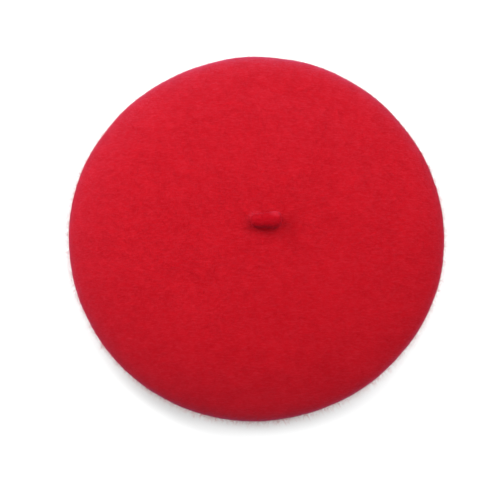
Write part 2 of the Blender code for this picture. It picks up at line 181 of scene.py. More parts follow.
def grid_faces(rows, cols, closed_rows=False):
    """Quads of a grid whose vertex (i, j) is i * cols + j, closed along each row."""
    faces = []
    for i in range(rows if closed_rows else rows - 1):
        near, far = i * cols, ((i + 1) % rows) * cols
        for j in range(cols):
            k = (j + 1) % cols
            faces.append((near + j, near + k, far + k, far + j))
    return faces


def capped_faces(rows, cols):
    """A grid closed at both ends by fans to two pole vertices that follow it."""
    faces = grid_faces(rows, cols)
    first_pole = rows * cols
    last_row = (rows - 1) * cols
    for j in range(cols):
        k = (j + 1) % cols
        faces.append((first_pole, k, j))
        faces.append((first_pole + 1, last_row + j, last_row + k))
    return faces


def sweep(sections, closed=False):
    """Skins closed sections (n, m, 3); an open run gets its ends closed."""
    rows = np.asarray(sections, float)
    n, m = rows.shape[:2]
    verts = rows.reshape(-1, 3)
    if closed:
        return verts, grid_faces(n, m, closed_rows=True)
    return np.vstack([verts, rows[0].mean(0), rows[-1].mean(0)]), capped_faces(n, m)


def outward(mesh):
    """Turns all faces round if the closed mesh has a negative volume."""
    verts, faces = mesh
    points = np.asarray(verts, float)
    volume = 0.0
    for face in faces:
        first = points[face[0]]
        for i in range(1, len(face) - 1):
            volume += np.dot(first, np.cross(points[face[i]], points[face[i + 1]]))
    if volume < 0:
        faces = [tuple(reversed(face)) for face in faces]
    return verts, faces


def join_parts(parts):
    """Stacks (verts, faces) pairs into one."""
    all_verts, all_faces, base = [], [], 0
    for verts, faces in parts:
        all_verts.append(verts)
        all_faces += [tuple(i + base for i in face) for face in faces]
        base += len(verts)
    return np.vstack(all_verts), all_faces


def tube(points, radius, around=10, closed=False, section=None):
    """A tube along points; radius is a number or one per point; section(i, phi) scales it."""
    path = np.asarray(points, float)
    if closed:
        along = np.roll(path, -1, 0) - np.roll(path, 1, 0)
    else:
        along = np.gradient(path, axis=0)
    along = unit_rows(along)
    helper = UP if abs(along[0][2]) < 0.9 else np.array([1.0, 0.0, 0.0])
    side = np.cross(along[0], helper)
    side /= np.linalg.norm(side)
    radii = np.broadcast_to(np.asarray(radius, float), (len(path),))
    phi = circle(around)
    rows = []
    for i, centre in enumerate(path):
        side = side - along[i] * np.dot(side, along[i])
        side /= np.linalg.norm(side)
        other = np.cross(along[i], side)
        scale = section(i, phi) if section is not None else 1.0
        rows.append(centre + radii[i] * ((scale * np.cos(phi))[:, None] * side
                                         + (scale * np.sin(phi))[:, None] * other))
    return outward(sweep(rows, closed))


def ribbon(points, widths, normals, across=6, cup=0.0):
    """A flat ribbon along points; normals face out of it, cup bulges its middle."""
    path = np.asarray(points, float)
    along = unit_rows(np.gradient(path, axis=0), 1e-12)
    face = np.asarray(normals, float)
    face = unit_rows(face - along * (face * along).sum(1)[:, None], 1e-12)
    side = np.cross(along, face)
    s = np.linspace(-1, 1, across + 1)
    bulge = cup * (1 - s * s)
    rows = []
    for i, centre in enumerate(path):
        line = centre + (s * widths[i] / 2)[:, None] * side[i]
        front = line + (bulge + RIBBON_T / 2)[:, None] * face[i]
        back = line + (bulge - RIBBON_T / 2)[:, None] * face[i]
        rows.append(np.vstack([front, back[::-1]]))
    return sweep(rows)


def stitch(centre, along, out, length, width, height, steps=10, around=8):
    """One stitch: a short thread that dives into the cloth at both ends."""
    side = np.cross(out, along)
    phi = circle(around)
    rows = []
    for i in range(steps + 1):
        s = -1 + 2 * i / steps
        thick = max(math.sqrt(max(0.0, 1 - abs(s) ** 3.2)), 0.12)
        lift = height * (1 - s * s) - 0.35 * height
        middle = centre + along * (s * length / 2) + out * lift
        # the ply makes the section turn slightly
        twist = 1.0 + 0.10 * np.cos(2 * (phi + 3.0 * s))
        rows.append(middle + (twist * np.cos(phi) * width / 2 * thick)[:, None] * side
                    + (twist * np.sin(phi) * width / 2 * thick)[:, None] * out)
    return sweep(rows)


# ------------------------------------------------------------------ materials
class Nodes:
    """A short way to write a node material. Texture sizes are in metres."""

    INPUTS = {"color": "Base Color", "rough": "Roughness", "normal": "Normal",
              "spec": "Specular IOR Level", "sheen": "Sheen Weight",
              "sheen_rough": "Sheen Roughness", "sheen_tint": "Sheen Tint",
              "aniso": "Anisotropic"}

    def __init__(self, name):
        self.mat = bpy.data.materials.new(name)
        self.mat.use_nodes = True
        self.tree = self.mat.node_tree
        self.object_coords = None

    @property
    def coords(self):
        if self.object_coords is None:
            self.object_coords = self.node("ShaderNodeTexCoord").outputs["Object"]
        return self.object_coords

    def node(self, kind, **props):
        node = self.tree.nodes.new(kind)
        for key, value in props.items():
            setattr(node, key, value)
        return node

    def put(self, socket, value):
        """Links a socket, or sets a value; a colour of three numbers gets alpha 1."""
        if isinstance(value, bpy.types.NodeSocket):
            self.tree.links.new(value, socket)
        elif socket.type == "RGBA" and len(value) == 3:
            socket.default_value = (*value, 1.0)
        else:
            socket.default_value = value

    def noise(self, size, detail=2.0, rough=0.5, coords=None, distortion=0.0):
        node = self.node("ShaderNodeTexNoise")
        node.inputs["Scale"].default_value = 1.0 / size
        node.inputs["Detail"].default_value = detail
        node.inputs["Roughness"].default_value = rough
        node.inputs["Distortion"].default_value = distortion
        self.put(node.inputs["Vector"], coords or self.coords)
        return node.outputs["Fac"]

    def voronoi(self, size, feature="F1"):
        node = self.node("ShaderNodeTexVoronoi", feature=feature)
        node.inputs["Scale"].default_value = 1.0 / size
        self.put(node.inputs["Vector"], self.coords)
        return node.outputs["Distance"]

    def mapped(self, scale, turn):
        """Object coordinates turned by degrees about Z and scaled."""
        node = self.node("ShaderNodeMapping")
        node.inputs["Scale"].default_value = scale
        node.inputs["Rotation"].default_value = (0.0, 0.0, math.radians(turn))
        self.put(node.inputs["Vector"], self.coords)
        return node.outputs["Vector"]

    def math(self, operation, *values):
        node = self.node("ShaderNodeMath", operation=operation)
        for i, value in enumerate(values):
            self.put(node.inputs[i], value)
        return node.outputs[0]

    def times(self, value, by):
        return self.math("MULTIPLY", value, by)

    def times_add(self, value, by, plus):
        return self.math("MULTIPLY_ADD", value, by, plus)

    def wave(self, value, frequency):
        """A sine from -1 to 1."""
        return self.math("SINE", self.times(value, frequency))

    def ribs(self, value, frequency):
        """A sine from 0 to 1."""
        return self.times_add(self.wave(value, frequency), by=0.5, plus=0.5)

    def ramp(self, value, low, high, start=0.0, end=1.0):
        """Runs smoothly from start to end as value runs from low to high."""
        node = self.node("ShaderNodeMapRange", interpolation_type="SMOOTHSTEP")
        self.put(node.inputs["Value"], value)
        node.inputs["From Min"].default_value = low
        node.inputs["From Max"].default_value = high
        node.inputs["To Min"].default_value = start
        node.inputs["To Max"].default_value = end
        return node.outputs["Result"]

    def mix(self, factor, a, b):
        """Colour a where factor is 0, colour b where it is 1."""
        node = self.node("ShaderNodeMix", data_type="RGBA")
        self.put(node.inputs["Factor"], factor)
        for name, value in (("A", a), ("B", b)):
            socket = [i for i in node.inputs if i.name == name and i.type == "RGBA"][0]
            self.put(socket, value)
        return [o for o in node.outputs if o.type == "RGBA"][0]

    def xyz(self):
        node = self.node("ShaderNodeSeparateXYZ")
        self.put(node.inputs[0], self.coords)
        return node.outputs[0], node.outputs[1], node.outputs[2]

    def angle(self):
        x, y, _ = self.xyz()
        return self.math("ARCTAN2", x, y)

    def bump(self, height, distance, strength, normal=None):
        node = self.node("ShaderNodeBump")
        node.inputs["Strength"].default_value = strength
        node.inputs["Distance"].default_value = distance
        self.put(node.inputs["Height"], height)
        if normal is not None:
            self.put(node.inputs["Normal"], normal)
        return node.outputs["Normal"]

    def set(self, **values):
        shader = self.tree.nodes["Principled BSDF"]
        for key, value in values.items():
            self.put(shader.inputs[self.INPUTS[key]], value)
        return self.mat


def felt_material(name, sheen, dark, light, pale, highlight_at=None):
    """Felted wool; the last argument, if given, is the middle of a painted highlight: a paler,
    pinker spot.
    """
    m = Nodes(name)
    # broad cloudiness of the dye, then the clumps of the felted wool
    broad = m.noise(size=0.034)
    patch = m.noise(size=0.0065, detail=3.0, rough=0.55, distortion=0.6)
    clump = m.noise(size=0.0021, rough=0.6)
    # fibres lying every way in the nap: three stretched, wandering layers
    fibres = None
    for k, turn in enumerate((17, 78, 139)):
        layer = m.noise(size=0.0036 + 0.0005 * k, rough=0.6, distortion=0.9,
                        coords=m.mapped(scale=(1.0, 5.5, 2.5), turn=turn))
        layer = m.ramp(layer, low=0.52, high=0.70)
        fibres = layer if fibres is None else m.math("MAXIMUM", fibres, layer)
    fleck = m.ramp(m.noise(size=0.0011, detail=1.0), low=0.60, high=0.78)
    tone = None
    for layer, weight in ((broad, 0.55), (patch, 0.95), (clump, 0.55)):
        below = -weight / 2
        plus = below if tone is None else m.math("ADD", tone, below)
        tone = m.times_add(layer, by=weight, plus=plus)
    tone = m.math("ADD", tone, 0.5)
    color = m.mix(m.ramp(tone, low=0.05, high=0.95), a=dark, b=light)
    color = m.mix(m.times(fibres, by=0.26), a=color, b=pale)
    # painted highlight: a paler pink spot where the light catches the back of the stalk's tip,
    # broken up by the clumps
    if highlight_at is not None:
        square_sum = None
        for axis, centre in zip(m.xyz(), highlight_at):
            offset = m.math("SUBTRACT", axis, float(centre))
            square = m.times(offset, by=offset)
            square_sum = square if square_sum is None else m.math("ADD", square_sum, square)
        near = m.ramp(m.math("SQRT", square_sum), low=0.0022, high=0.0062, start=1.0, end=0.0)
        near = m.times(near, by=m.ramp(clump, low=0.25, high=0.75, start=0.45, end=1.0))
        color = m.mix(m.times(near, by=0.8), a=color, b=(0.42, 0.018, 0.034))
    color = m.mix(m.times(fleck, by=0.16), a=color, b=(0.28, 0.0003, 0.0020))
    height = m.times_add(fibres, by=0.55, plus=m.times(clump, by=0.9))
    height = m.times_add(patch, by=1.3, plus=height)
    coarse = m.bump(height, distance=0.00028, strength=0.42)
    normal = m.bump(m.noise(size=0.0007, rough=0.7), distance=0.00012, strength=0.45,
                    normal=coarse)
    return m.set(color=color, rough=m.ramp(clump, low=0.2, high=0.8, start=0.88, end=1.0),
                 normal=normal, spec=0.0, sheen=sheen, sheen_rough=0.50,
                 sheen_tint=(0.72, 0.42, 0.76))


def fuzz_material():
    return Nodes("wool_fuzz").set(color=(0.46, 0.0055, 0.016), rough=1.0, spec=0.0, sheen=0.0)


def leather_material():
    m = Nodes("sweatband_leather")
    cells = m.voronoi(size=0.0011, feature="DISTANCE_TO_EDGE")
    fine = m.noise(size=0.0004)
    crease = m.noise(size=0.006, detail=4.0, rough=0.6)
    pores = m.ramp(m.voronoi(size=0.0008), low=0.0, high=0.35)
    height = m.times_add(m.ramp(cells, low=0.0, high=0.12), by=0.7,
                         plus=m.times(crease, by=0.5))
    height = m.times_add(pores, by=0.2, plus=height)
    _, _, z = m.xyz()
    # the skin is worn paler and smoother along its top edge
    wear = m.times(m.ramp(z, low=BAND_HIGH.z - 0.0035, high=BAND_HIGH.z),
                   by=m.ramp(crease, low=0.35, high=0.7))
    color = m.mix(m.ramp(crease, low=0.3, high=0.75),
                  a=(0.017, 0.013, 0.012), b=(0.036, 0.028, 0.025))
    color = m.mix(m.times(wear, by=0.6), a=color, b=(0.085, 0.064, 0.054))
    rough = m.times_add(fine, by=0.16, plus=m.ramp(wear, low=0.0, high=1.0, start=0.44, end=0.33))
    return m.set(color=color, rough=rough, spec=0.45,
                 normal=m.bump(height, distance=0.00022, strength=0.8))


def tape_material():
    """Grosgrain tape: a rib across its width every 0.9 mm, fine threads along it."""
    m = Nodes("edge_tape")
    length = TAU * 0.094
    angle = m.angle()
    ribs = m.ribs(angle, frequency=round(length / 0.0009))
    weft = m.wave(angle, frequency=round(length / 0.00032))
    x, y, z = m.xyz()
    radius = m.math("SQRT", m.math("ADD", m.times(x, by=x), m.times(y, by=y)))
    warp = m.wave(m.math("ADD", radius, z), frequency=TAU / 0.00045)
    cloud = m.noise(size=0.004, detail=3.0)
    color = m.mix(ribs, a=(0.165, 0.0030, 0.0075), b=(0.31, 0.0062, 0.0150))
    color = m.mix(m.ramp(cloud, low=0.35, high=0.7, end=0.35), a=color, b=(0.23, 0.0045, 0.0105))
    height = m.times_add(warp, by=0.12, plus=m.times_add(weft, by=0.05, plus=ribs))
    return m.set(color=color, rough=m.ramp(ribs, low=0, high=1, start=0.72, end=0.52),
                 normal=m.bump(height, distance=0.00016, strength=0.9), spec=0.3,
                 sheen=0.15, sheen_rough=0.4, sheen_tint=(1.0, 0.5, 0.5))


def satin_material():
    m = Nodes("satin_lining")
    x, y, _ = m.xyz()
    # long floats of the satin weave
    floats = m.noise(size=0.0016, rough=0.6, coords=m.mapped(scale=(1.0, 7.0, 7.0), turn=24))
    twill = m.wave(m.math("ADD", x, m.times(y, by=0.6)), frequency=TAU / 0.00050)
    cloud = m.noise(size=0.028)
    color = m.mix(m.ramp(floats, low=0.3, high=0.7),
                  a=(0.205, 0.0030, 0.0085), b=(0.34, 0.0070, 0.0185))
    color = m.mix(m.ramp(cloud, low=0.35, high=0.65, end=0.30),
                  a=color, b=(0.25, 0.0036, 0.0105))
    height = m.times_add(twill, by=0.18, plus=floats)
    return m.set(color=color, rough=m.ramp(floats, low=0.3, high=0.7, start=0.40, end=0.28),
                 normal=m.bump(height, distance=0.00006, strength=0.8), spec=0.55,
                 sheen=0.2, sheen_rough=0.3, sheen_tint=(1.0, 0.55, 0.55), aniso=0.4)


def thread_material(name, dark, light):
    """Twisted thread: fine slanted plies."""
    m = Nodes(name)
    _, _, z = m.xyz()
    slant = m.math("ADD", m.times(m.angle(), by=0.09), m.times(z, by=1.6))
    ply = m.ribs(slant, frequency=TAU / 0.00042)
    cloud = m.noise(size=0.0009)
    color = m.mix(ply, a=dark, b=light)
    color = m.mix(m.ramp(cloud, low=0.4, high=0.8, end=0.4), a=color, b=dark)
    return m.set(color=color, rough=0.58, spec=0.35,
                 normal=m.bump(ply, distance=0.00008, strength=0.8))


def cord_material():
    m = Nodes("drawcord")
    grain = m.noise(size=0.0006, detail=3.0)
    color = m.mix(m.ramp(grain, low=0.3, high=0.75),
                  a=(0.012, 0.010, 0.010), b=(0.045, 0.038, 0.037))
    return m.set(color=color, rough=0.72, spec=0.3, sheen=0.2, sheen_rough=0.4,
                 normal=m.bump(grain, distance=0.00008, strength=0.7),
                 sheen_tint=(0.8, 0.8, 0.8))


def ribbon_material():
    m = Nodes("bow_ribbon")
    x, _, z = m.xyz()
    ribs = m.ribs(x, frequency=TAU / 0.00075)
    warp = m.wave(z, frequency=TAU / 0.00040)
    cloud = m.noise(size=0.003)
    color = m.mix(ribs, a=(0.010, 0.009, 0.0095), b=(0.036, 0.032, 0.034))
    color = m.mix(m.ramp(cloud, low=0.4, high=0.7, end=0.3), a=color, b=(0.020, 0.018, 0.019))
    height = m.times_add(warp, by=0.1, plus=ribs)
    return m.set(color=color, rough=m.ramp(ribs, low=0, high=1, start=0.55, end=0.36),
                 normal=m.bump(height, distance=0.00012, strength=0.9), spec=0.5)


def label_material():
    m = Nodes("label_satin")
    x, y, z = m.xyz()
    warp = m.wave(m.math("ADD", x, y), frequency=TAU / 0.00042)
    weft = m.wave(z, frequency=TAU / 0.00055)
    cloud = m.noise(size=0.0045, detail=3.0)
    color = m.mix(m.ramp(cloud, low=0.3, high=0.75), a=(0.66, 0.63, 0.58), b=(0.80, 0.78, 0.74))
    height = m.times_add(warp, by=0.5, plus=weft)
    return m.set(color=color, rough=m.ramp(cloud, low=0.3, high=0.7, start=0.34, end=0.48),
                 normal=m.bump(height, distance=0.00005, strength=0.8), spec=0.5,
                 sheen=0.1, sheen_rough=0.3, sheen_tint=(1, 1, 1))


def stalk_highlight_place():
    """Middle of the painted highlight near the stalk's tip, set out along the joints' axes."""
    first, second = (np.array(JOINTS[k]["axis"], float) for k in (0, 1))
    return (np.array(JOINTS[0]["pos_m"]) + 0.0152 * np.cross(-first, second)
            - 0.0050 * first + 0.0020 * second)


FELT = felt_material("felt_cloth", sheen=0.47, dark=(0.316, 0.0001, 0.0014),
                     light=(0.382, 0.0022, 0.0050), pale=(0.46, 0.020, 0.034))
# the stalk's felt is darker than the crown's: painted shade for the shaded front side of the
# stalk; its tip carries a painted highlight
FELT_STALK_SHADED = felt_material("felt_cloth_stalk_shaded", sheen=0.07, dark=(0.284, 0.0014, 0.0050),
                           light=(0.340, 0.0030, 0.0082), pale=(0.39, 0.014, 0.026),
                           highlight_at=stalk_highlight_place())
FUZZ = fuzz_material()
LEATHER = leather_material()
TAPE = tape_material()
SATIN = satin_material()
THREAD = thread_material("thread_red", dark=(0.14, 0.0026, 0.0065), light=(0.33, 0.0070, 0.0160))
THREAD_DARK = thread_material("thread_black", dark=(0.010, 0.009, 0.009),
                              light=(0.040, 0.035, 0.034))
CORD = cord_material()
RIBBON = ribbon_material()
LABEL = label_material()


# ----------------------------------------------------------- form of the felt
# Columns: amplitude, waves per turn, angle of a crest in degrees from +X towards +Y.
OUTLINE_SWELL = 0.0028          # the felt lies out a little wider than blocked
OUTLINE_WAVES = (               # share of the radius; the one-wave term is the front right
    (0.0031, 2, 6.0), (0.0015, 3, -8.0), (0.0023, 4, -22.5), (0.0012, 5, 6.0),
    (0.0050, 1, 305.0),
)
DROOP_WAVES = (                 # height of the rim
    (-2.2 * MM, 1, 225.0), (1.0 * MM, 2, 40.0), (0.6 * MM, 3, 100.0),
)


def waves(theta, terms):
    return sum(size * np.cos(count * (theta - math.radians(crest)))
               for size, count, crest in terms)


def blocked(points):
    """Bends the round form to the beret's own uneven outline and droop."""
    x, y, z = points.T
    radius = np.hypot(x, y)
    theta = np.arctan2(y, x)
    weight = smooth(100.0 * MM, 134.0 * MM, radius)
    gain = 1.0 + weight * (OUTLINE_SWELL + waves(theta, OUTLINE_WAVES))
    return np.stack([x * gain, y * gain, z + weight * waves(theta, DROOP_WAVES)], -1)


def dense_profile():
    """The felt's outer profile (r, z), finely sampled."""
    t = np.linspace(0, math.pi / 2, 1500)
    top_r = CROWN_R * np.sin(t) ** (2 / TOP_POWER)
    top_z = RIM_Z + (CROWN_H - RIM_Z) * np.cos(t) ** (2 / TOP_POWER)
    t = np.linspace(0, math.pi / 2, 500)[1:]
    under_r = UNDER_R + (CROWN_R - UNDER_R) * np.cos(t)
    under_z = RIM_Z - (RIM_Z - UNDER_Z) * np.sin(t)
    f = np.linspace(0, 1, 80)[1:]
    bend_r = UNDER_R + (FLAT_R - UNDER_R) * f
    bend_z = UNDER_Z + (EDGE_Z - UNDER_Z) * np.sin(f * math.pi / 2)
    f = np.linspace(0, 1, 60)[1:]
    flat_r = FLAT_R + (EDGE_R - FLAT_R) * f
    flat_z = EDGE_Z + 0 * f
    return np.stack([np.concatenate([top_r, under_r, bend_r, flat_r]),
                     np.concatenate([top_z, under_z, bend_z, flat_z])], -1)


def resample(points, count):
    """The same curve with count points, evenly spaced."""
    steps = np.linalg.norm(np.diff(points, axis=0), axis=1)
    length = np.concatenate([[0], np.cumsum(steps)])
    even = np.linspace(0, length[-1], count)
    return np.stack([np.interp(even, length, column) for column in points.T], -1)


def profile_normals(points, reach=2):
    """Normals of a profile; they point up and out where it runs outwards over the top."""
    before = np.roll(points, reach, 0)
    after = np.roll(points, -reach, 0)
    before[:reach] = points[:reach]
    after[-reach:] = points[-reach:]
    along = after - before
    return unit_rows(np.stack([-along[:, 1], along[:, 0]], -1))


# ---------------------------------------------------------------------- shell
def shell_relief(points, radius, normal_z):
    """Height of the felt's own surface above the smooth form."""
    body = (0.55 * MM * value_noise(points, 0.062, seed=1)
            + 0.30 * MM * value_noise(points, 0.030, seed=2))
    nap = (0.10 * MM * value_noise(points, 0.012, seed=3)
           + 0.075 * MM * value_noise(points, 0.0060, seed=4)
           + 0.060 * MM * value_noise(points, 0.0032, seed=5))
    # none on the flat underside near the opening
    keep = np.maximum(smooth(101 * MM, 112 * MM, radius), smooth(0.0, 0.25, normal_z))
    return keep * (body * smooth(6 * MM, 25 * MM, radius) + nap)


def neck_relief(x, y):
    """The neck the stalk grows from, with soft puckers that run out from it."""
    dx, dy = x - PIVOT.x, y - PIVOT.y
    distance = np.hypot(dx, dy)
    angle = np.arctan2(dy, dx)
    neck_distance = np.hypot(dx + 0.2 * MM, dy - 0.1 * MM)
    neck = 2.6 * MM * (1 - smooth(2.4 * MM, 9.0 * MM, neck_distance)) ** 1.25
    ring = smooth(4 * MM, 6.5 * MM, distance) * (1 - smooth(8 * MM, 18 * MM, distance))
    pucker = 0.12 * MM * ring * (np.cos(5 * angle + 0.8 + 60 * distance)
                                 + 0.6 * np.cos(9 * angle - 1.1 - 90 * distance))
    dimple = -0.35 * MM * np.exp(-(distance / (20 * MM)) ** 2)
    return neck + pucker + dimple


def build_shell():
    around = 400
    theta = circle(around)
    outer = resample(dense_profile(), 172)
    rings = []
    for point, normal in zip(outer[1:], profile_normals(outer)[1:]):
        base = spun(point, theta)
        height = shell_relief(base, np.full(around, point[0]), np.full(around, normal[1]))
        rings.append(blocked(base) + spun(normal, theta) * height[:, None])
    rings = np.array(rings)
    on_top = (outer[1:, 1] > 30 * MM)[:, None]
    rings[..., 2] += on_top * neck_relief(rings[..., 0], rings[..., 1])
    poles = [[0.0, 0.0, rings[0, :, 2].mean()], [0.0, 0.0, CROWN_H - FELT_T]]
    # inner face, plain: it is behind the lining
    inner = resample(dense_profile(), 34)
    inner = inner - profile_normals(inner, 1) * FELT_T
    inner[-1] = (EDGE_R, EDGE_Z + FELT_T)
    inner_rings = np.array([blocked(spun(point, theta)) for point in inner[:0:-1]])
    all_rings = np.concatenate([rings, inner_rings])
    mesh = (np.vstack([all_rings.reshape(-1, 3), poles]), capped_faces(len(all_rings), around))
    ob = add_piece("felt_shell", outward(mesh), (FELT, FUZZ), "crown",
                   ("felt_crown",))
    # the fuzz grows on the outside only, and not on the last rings at the opening
    group = ob.vertex_groups.new(name="outside")
    fuzzy = list(range((len(rings) - 9) * around))
    group.add(fuzzy + [len(all_rings) * around], 1.0, "REPLACE")
    return ob


# ---------------------------------------------------------------------- stalk
def stalk_axes():
    """Unit vectors along the stalk, across it and up."""
    axes = {j["name"]: np.array(j["axis"], float) for j in JOINTS}
    side, up = -axes["stalk_lean"], axes["stalk_sway"]
    along = np.cross(side, up)
    return [axis / np.linalg.norm(axis) for axis in (along, side, up)]


def stalk_radius(x):
    """A barrel round the pivot keeps the root seated however the stalk leans."""
    body = 3.5 + 1.15 * smooth(0.0, 5.5, x / MM) + 0.85 * smooth(4.5, 14.5, x / MM)
    root = np.sqrt(np.clip(1.0 - np.clip(-x / STALK_BACK, 0, 1) ** 2, 0, 1))
    tip_start = 13.2 * MM
    t = np.clip((x - tip_start) / (STALK_LENGTH - tip_start), 0, 1)
    return body * MM * root * (1.0 - t ** 2.6) ** (1 / 2.2)


def stalk_section(x, phi):
    """Section at x from the pivot, as (along, side, up) points."""
    bend = float(smooth(7.0 * MM, STALK_LENGTH, x))
    centre_z = 0.5 * MM * bend * bend - 0.075 * max(x, 0.0)
    slope = (math.atan2(0.5 * MM * bend, 9 * MM)
             - 0.075 * float(smooth(-3.0 * MM, 3.0 * MM, x)))
    radius = stalk_radius(x)
    # beyond the root it is flattened, and narrower on its +side half
    lies = float(smooth(0.0, 6.0 * MM, x))
    across = radius * (np.where(np.cos(phi) > 0, 1.22, 1.46) - 0.20 * lies) * np.cos(phi)
    low = 0.9 * MM * lies * min(1.0, radius / (4.0 * MM))
    half_height = radius * (1.0 - 0.24 * lies)
    height = (half_height + np.where(np.sin(phi) > 0, low, -low)) * np.sin(phi) - low
    return np.stack([x - np.sin(slope) * height, across, centre_z + np.cos(slope) * height], -1)


def build_stalk():
    along, side, up = stalk_axes()
    pivot = np.array(PIVOT)
    count, around = 110, 56
    # finer towards both rounded ends
    u = np.linspace(0, 1, count + 2)[1:-1]
    stations = -STALK_BACK + (STALK_LENGTH + STALK_BACK) * (0.5 - 0.5 * np.cos(math.pi * u))
    rows = np.array([stalk_section(x, circle(around)) for x in stations])
    centres = rows.mean(1)
    local = rows.reshape(-1, 3)
    normals = unit_rows(local - np.repeat(centres, around, 0), 1e-12)
    relief = (0.20 * MM * value_noise(local, 0.0055, seed=21)
              + 0.13 * MM * value_noise(local, 0.0026, seed=22)
              + 0.07 * MM * value_noise(local, 0.0013, seed=23))
    end_step = np.array([0.02 * MM, 0, 0])
    local = np.vstack([local + normals * relief[:, None],
                       centres[0] - end_step, centres[-1] + end_step])
    world = pivot + local[:, :1] * along + local[:, 1:2] * side + local[:, 2:3] * up
    ob = add_piece("felt_stalk", outward((world, capped_faces(count, around))),
                   (FELT_STALK_SHADED, FUZZ), None, ("stem_root", "stem"))
    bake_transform(ob)
    return ob


def add_fuzz(ob, count, length, seed, group=None):
    """Short loose wool fibres standing off the felt."""
    system = ob.modifiers.new("fuzz", "PARTICLE_SYSTEM").particle_system
    system.seed = seed
    if group:
        system.vertex_group_density = group
    hair = system.settings
    hair.type = "HAIR"
    hair.count = count
    hair.hair_length = length
    hair.emit_from = "FACE"
    hair.use_emit_random = True
    hair.use_even_distribution = True
    hair.hair_step = 3
    hair.render_step = 3
    hair.display_step = 2
    hair.use_advanced_hair = True
    hair.normal_factor = 0.55 * length
    hair.tangent_factor = 0.0
    hair.factor_random = length
    hair.brownian_factor = 0.0
    hair.length_random = 0.75
    hair.child_type = "NONE"
    hair.roughness_1 = 0.0
    hair.radius_scale = 0.001
    hair.root_radius = 0.06
    hair.tip_radius = 0.016
    hair.shape = 0.0
    hair.material = 2           # the second material slot
    hair.use_hair_bspline = False


# ------------------------------------------------------ sweatband and binding
def rounded(section, bevel, steps):
    """Rounds the corners of a closed (r, z) section."""
    points = np.asarray(section, float)
    out = []
    for i, corner in enumerate(points):
        before = points[i - 1] - corner
        after = points[(i + 1) % len(points)] - corner
        before_len, after_len = np.linalg.norm(before), np.linalg.norm(after)
        cut = min(bevel, 0.45 * before_len, 0.45 * after_len)
        start, end = corner + before / before_len * cut, corner + after / after_len * cut
        for j in range(steps + 1):
            t = j / steps
            out.append((1 - t) ** 2 * start + 2 * t * (1 - t) * corner + t * t * end)
    return np.array(out)


def subdivided(section, step):
    """Adds points along long sides of a closed section."""
    out = []
    for a, b in zip(section, np.roll(section, -1, 0)):
        count = max(1, int(math.ceil(np.linalg.norm(b - a) / step)))
        out += [a + (b - a) * j / count for j in range(count)]
    return np.array(out)


def build_sweatband():
    """An upright leather strip whose ends nearly meet at the back."""
    outer_r = BAND_R + (BAND_HIGH.x - BAND_R)
    bottom, top = BAND_LOW.z, BAND_HIGH.z
    section = [(BAND_R, bottom), (outer_r, bottom), (outer_r, top), (BAND_R, top)]
    section = subdivided(rounded(section, 0.38 * MM, steps=3), 1.3 * MM)
    r, z = section.T
    rise = (z - bottom) / (top - bottom)
    # a line pressed into the inner face under the top edge, and the dip along the seam
    groove = 0.12 * MM * np.exp(-((z - (top - 2.2 * MM)) / (0.35 * MM)) ** 2)
    seam = 0.12 * MM * np.exp(-((z - (bottom + 1.7 * MM)) / (0.6 * MM)) ** 2)
    pressed = np.where(r < (BAND_R + outer_r) / 2, groove + seam, 0.0)
    gap = 0.9                   # degrees on each side of the back
    rows = []
    for degrees in np.linspace(gap, 360 - gap, 360):
        a = math.radians(degrees)
        # the strip's upper edge leans in and out a little, as leather on edge does
        sway = (0.32 * MM * rise ** 2 * (math.sin(3 * a + 0.4) + 0.6 * math.sin(7 * a + 1.9))
                - 0.15 * MM * rise)
        lift = 0.25 * MM * rise * math.sin(5 * a + 0.7)
        rows.append(polar(degrees, r + sway + pressed, z + lift))
    add_piece("sweatband_strip", outward(sweep(rows)), (LEATHER,), "crown",
              ("sweatband",), sharp=60)


def build_binding():
    """Tape folded round the edge, with its inner wall cut low at the back."""
    r0, r1, height, tape = 89.25 * MM, 99.2 * MM, 5.0 * MM, 0.7 * MM
    lip = r0 + tape
    # (r, z) sections: the first seven points, below, are shared
    shared = [(r0, 0.5 * MM), (r0 + 0.5 * MM, 0.0), (r1 - 2.4 * MM, 0.0), (r1, 0.75 * MM),
              (r1, 0.75 * MM + 0.5 * tape), (r1 - 2.4 * MM, tape), (lip, tape)]
    full = shared + [(lip, height - tape), (r1 - 0.5 * MM, height - tape + 0.35 * MM),
                     (r1 - 0.5 * MM, height + 0.35 * MM), (r0 + 0.3 * MM, height),
                     (r0, height - 0.3 * MM)]
    cut = shared + [(lip, height - 1.9 * MM), (lip, height - 1.7 * MM),
                    (lip - 0.1 * MM, height - 1.5 * MM), (r0 + 0.25 * MM, height - 1.5 * MM),
                    (r0, height - 1.7 * MM)]
    full, cut = (rounded(section, 0.22 * MM, steps=2) for section in (full, cut))
    slot, fade = 11.5, 0.8      # half angle of the low part and of its ends, in degrees
    stations = np.concatenate([np.linspace(slot + fade, 360 - slot - fade, 420),
                               np.linspace(360 - slot, 360 + slot, 30)])
    rows = []
    for degrees in stations:
        weight = float(smooth(slot, slot + fade, abs((degrees + 180) % 360 - 180)))
        r, z = (cut * (1 - weight) + full * weight).T
        a = math.radians(degrees)
        # the tape's outer edge is not cut dead straight
        wavy = (0.12 * MM * (math.sin(11 * a) + 0.6 * math.sin(23 * a + 1.3))
                * smooth(r1 - 2.0 * MM, r1, r))
        low_edge = (z < 1.6 * MM) & (r > r1 - 2.2 * MM)
        lift = 0.05 * MM * np.where(low_edge, math.sin(31 * a), 0.0)
        rows.append(polar(degrees, r + wavy, np.maximum(z + lift, 0.0)))
    add_piece("binding_tape", outward(sweep(rows, closed=True)), (TAPE,), "crown",
              ("edge_binding",), sharp=60)


